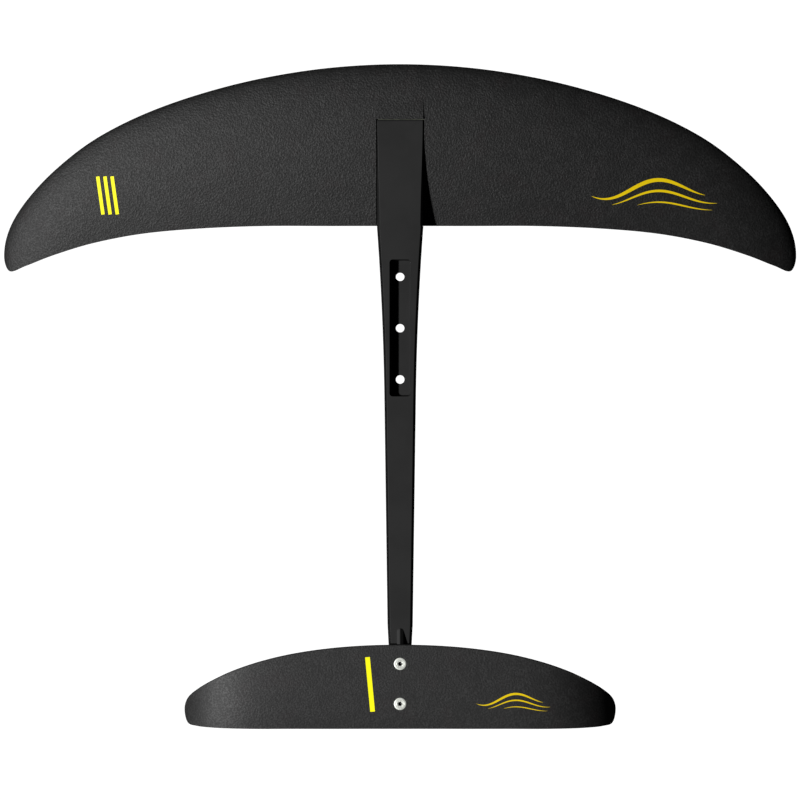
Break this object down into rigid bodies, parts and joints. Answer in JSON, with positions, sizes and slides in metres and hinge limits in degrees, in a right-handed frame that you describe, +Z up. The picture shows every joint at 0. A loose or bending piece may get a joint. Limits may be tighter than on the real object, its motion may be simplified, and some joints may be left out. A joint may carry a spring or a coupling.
{
  "type": "hydrofoil wing set",
  "caption": "Hydrofoil wing set: drooped front wing, tapered fuselage with a mast pocket, and a small rear stabiliser held by two countersunk screws.",
  "frame": {"origin": "where the mast's middle screw meets the floor of the mast pocket", "axes": "+Z up towards the board, -Y the way it travels (the front wing's side), X along the span"},
  "size_m": [0.7828, 0.6466, 0.0909],
  "materials": {
    "wing_carbon": "matte moulded carbon laminate with a fine fibre speckle",
    "anodised_black": "smooth black anodised",
    "root_laminate": "solid glass and carbon laminate, machined",
    "foam_core": "closed-cell foam",
    "stainless": "fine turned stainless steel",
    "mark_yellow": "printed yellow mark"
  },
  "bodies": {
    "root": {"fuselage": "anodised_black", "front_wing_upper_skin": "wing_carbon", "front_wing_lower_skin": "wing_carbon", "front_wing_root_block": "root_laminate", "front_wing_core_left": "foam_core", "front_wing_core_right": "foam_core", "front_wing_screw_1": "stainless", "front_wing_screw_2": "stainless", "front_wing_screw_3": "stainless", "front_thread_insert_1": "stainless", "front_thread_insert_2": "stainless", "front_thread_insert_3": "stainless", "stabiliser_upper_skin": "wing_carbon", "stabiliser_lower_skin": "wing_carbon", "stabiliser_root_block": "root_laminate", "stabiliser_core_left": "foam_core", "stabiliser_core_right": "foam_core", "stabiliser_screw_1": "stainless", "stabiliser_screw_2": "stainless", "stabiliser_thread_insert_1": "stainless", "stabiliser_thread_insert_2": "stainless"}
  },
  "joints": []
}
